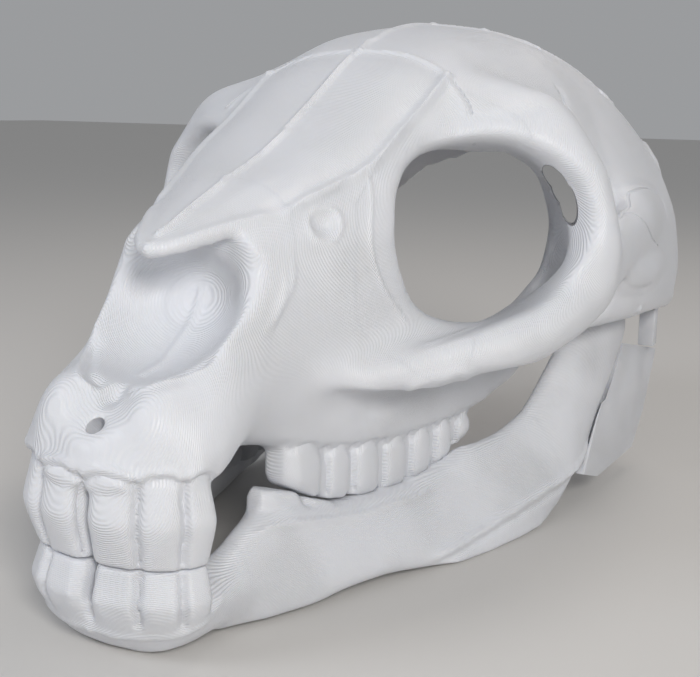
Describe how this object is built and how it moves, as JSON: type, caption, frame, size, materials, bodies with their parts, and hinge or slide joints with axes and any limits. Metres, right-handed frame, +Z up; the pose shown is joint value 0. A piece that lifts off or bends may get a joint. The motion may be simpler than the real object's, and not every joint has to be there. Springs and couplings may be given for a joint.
{
  "type": "printed horse skull model",
  "caption": "Stylised horse skull printed in white plastic, with a domed hollow cranium that is open at the back and a lower jaw fixed closed, for display.",
  "frame": {"origin": "on the floor under the middle of the bounding box", "axes": "+X from the incisors to the back of the dome, +Z up, the animal's left side towards -Y"},
  "size_m": [0.3268, 0.208, 0.1961],
  "materials": {
    "white_plastic": "semi-gloss white printed plastic with fine layer lines",
    "screw_steel": "small dark steel screw sunk in the rim"
  },
  "bodies": {
    "root": {"nasal_bones": "white_plastic", "premaxilla": "white_plastic", "mandible_front": "white_plastic", "maxilla_left": "white_plastic", "frontal_left": "white_plastic", "parietal_left": "white_plastic", "lacrimal_left": "white_plastic", "zygomatic_left": "white_plastic", "temporal_left": "white_plastic", "mandible_left": "white_plastic", "ramus_left": "white_plastic", "jaw_angle_plate_left": "white_plastic", "jaw_post_left": "white_plastic", "rim_screw_left": "screw_steel", "maxilla_right": "white_plastic", "frontal_right": "white_plastic", "parietal_right": "white_plastic", "lacrimal_right": "white_plastic", "zygomatic_right": "white_plastic", "temporal_right": "white_plastic", "mandible_right": "white_plastic", "ramus_right": "white_plastic", "jaw_angle_plate_right": "white_plastic", "jaw_post_right": "white_plastic", "rim_screw_right": "screw_steel"}
  },
  "joints": []
}
